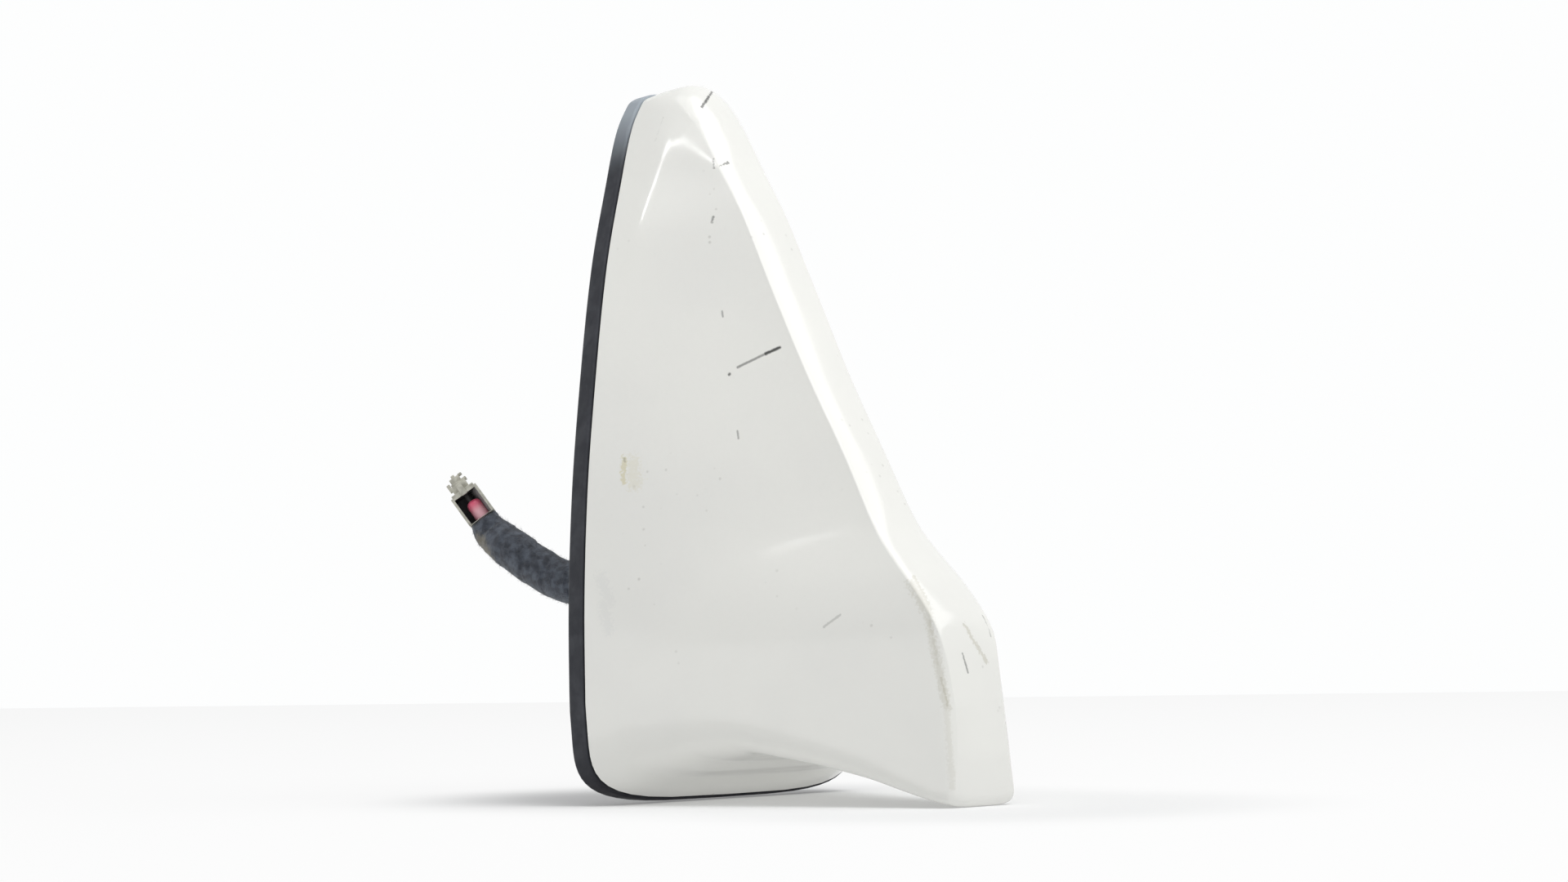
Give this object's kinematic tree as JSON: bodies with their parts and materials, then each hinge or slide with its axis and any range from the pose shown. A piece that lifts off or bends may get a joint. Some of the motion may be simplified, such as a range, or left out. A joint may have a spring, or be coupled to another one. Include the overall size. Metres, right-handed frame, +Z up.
{
  "type": "roof antenna",
  "caption": "White painted car roof antenna with a fin-shaped cover, dark rubber gasket, hollow threaded stud and a short taped pigtail with a small plug.",
  "frame": {"origin": "on the stud's axis, at the roof skin, where the gasket's underside lies", "axes": "+X towards the nose, +Y towards the left side, +Z up and away from the roof"},
  "size_m": [0.1295, 0.0644, 0.1164],
  "materials": {
    "white_paint": "gloss",
    "dark_rubber": "matt",
    "cast_metal": "satin",
    "frame_plastic": "matt",
    "screw_steel": "satin",
    "board_green": "satin",
    "chip_black": "matt",
    "tinned_steel": "satin",
    "ceramic": "matt",
    "silvered": "satin",
    "copper": "satin",
    "former_plastic": "matt",
    "gold_contact": "satin",
    "lead_jacket": "satin",
    "fleece_tape": "matt",
    "plug_plastic": "satin",
    "pink_jacket": "satin"
  },
  "bodies": {
    "root": {"cover": "white_paint", "cover_frame": "frame_plastic", "base_seal": "dark_rubber", "gasket": "dark_rubber", "base_plate": "cast_metal", "cover_screws": "screw_steel", "vent_plug": "dark_rubber", "amp_board": "board_green", "board_screws": "screw_steel", "board_chips": "chip_black", "shield_can": "tinned_steel", "patch_ceramic": "ceramic", "patch_electrode": "silvered", "patch_pin": "tinned_steel", "phone_board": "board_green", "phone_foil": "copper", "coil_former": "former_plastic", "radio_coil": "copper", "top_plate": "tinned_steel", "lead_sockets": "gold_contact", "coax_leads": "lead_jacket", "cable_grommet": "dark_rubber", "pigtail_tape": "fleece_tape", "plug_housing": "plug_plastic", "plug_jacket": "pink_jacket", "plug_contact": "gold_contact", "plug_collar": "plug_plastic"}
  },
  "joints": []
}
